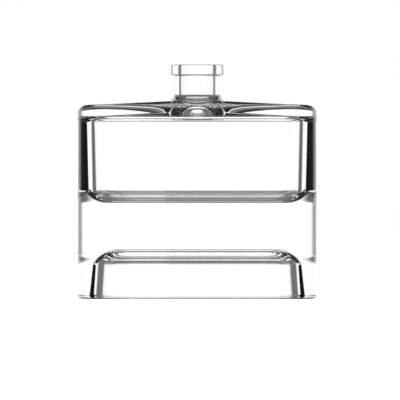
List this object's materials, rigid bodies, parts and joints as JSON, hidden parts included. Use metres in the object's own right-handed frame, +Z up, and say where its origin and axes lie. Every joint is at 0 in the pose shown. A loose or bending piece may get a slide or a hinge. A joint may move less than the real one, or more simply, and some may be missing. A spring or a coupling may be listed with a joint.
{
  "type": "glass bottle",
  "caption": "Rounded clear glass flacon with a crimp neck, an upper reservoir, a solid glass middle and a hollow foot.",
  "frame": {"origin": "centre of the underside, on the surface that the bottle stands on", "axes": "+Z up along the neck, +X along the width of the body, +Y along its depth"},
  "size_m": [0.0678, 0.0274, 0.0663],
  "materials": {
    "clear_glass": "fire-polished clear"
  },
  "bodies": {
    "root": {"glass_bottle": "clear_glass"}
  },
  "joints": []
}
